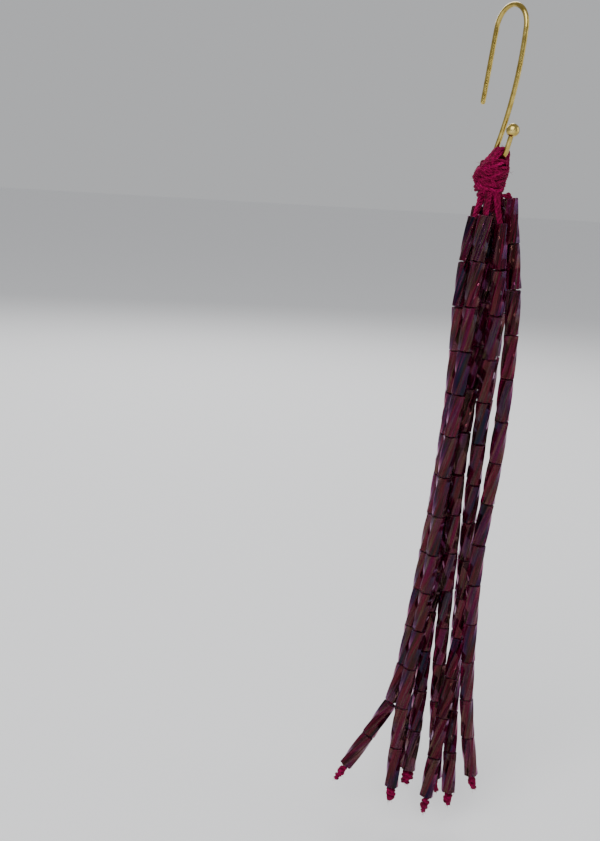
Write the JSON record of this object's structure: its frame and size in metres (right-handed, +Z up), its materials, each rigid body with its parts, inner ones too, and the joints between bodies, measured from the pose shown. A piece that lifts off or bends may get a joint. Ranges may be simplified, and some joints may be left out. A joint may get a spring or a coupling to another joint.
{
  "type": "beaded drop earring",
  "caption": "Long drop earring: ball-ended wire ear hook, thread knot looped on its foot, and a tassel of twisted glass tube-bead strands with knotted thread ends.",
  "frame": {"origin": "where an ear or a peg carries the wire, under the middle of the hook's top bend", "axes": "+Z up, the ball of the hook faces -Y and its straight tail is at +Y; the strands hang down -Z"},
  "size_m": [0.0205, 0.015, 0.13],
  "materials": {
    "gold_wire": "polished gold-coloured wire",
    "thread": "twisted crimson-magenta sewing thread, slightly fuzzy",
    "glass_beads": "dark wine-red twisted six-sided glass with a lustre coat"
  },
  "bodies": {
    "root": {"ear_hook": "gold_wire", "thread_knot": "thread", "bead_strand_far_left": "glass_beads", "strand_thread_far_left": "thread", "bead_strand_left": "glass_beads", "strand_thread_left": "thread", "bead_strand_middle": "glass_beads", "strand_thread_middle": "thread", "bead_strand_right": "glass_beads", "strand_thread_right": "thread", "bead_strand_rear_right": "glass_beads", "strand_thread_rear_right": "thread", "bead_strand_inner": "glass_beads", "strand_thread_inner": "thread", "bead_strand_rear": "glass_beads", "strand_thread_rear": "thread", "bead_strand_rear_left": "glass_beads", "strand_thread_rear_left": "thread"}
  },
  "joints": []
}
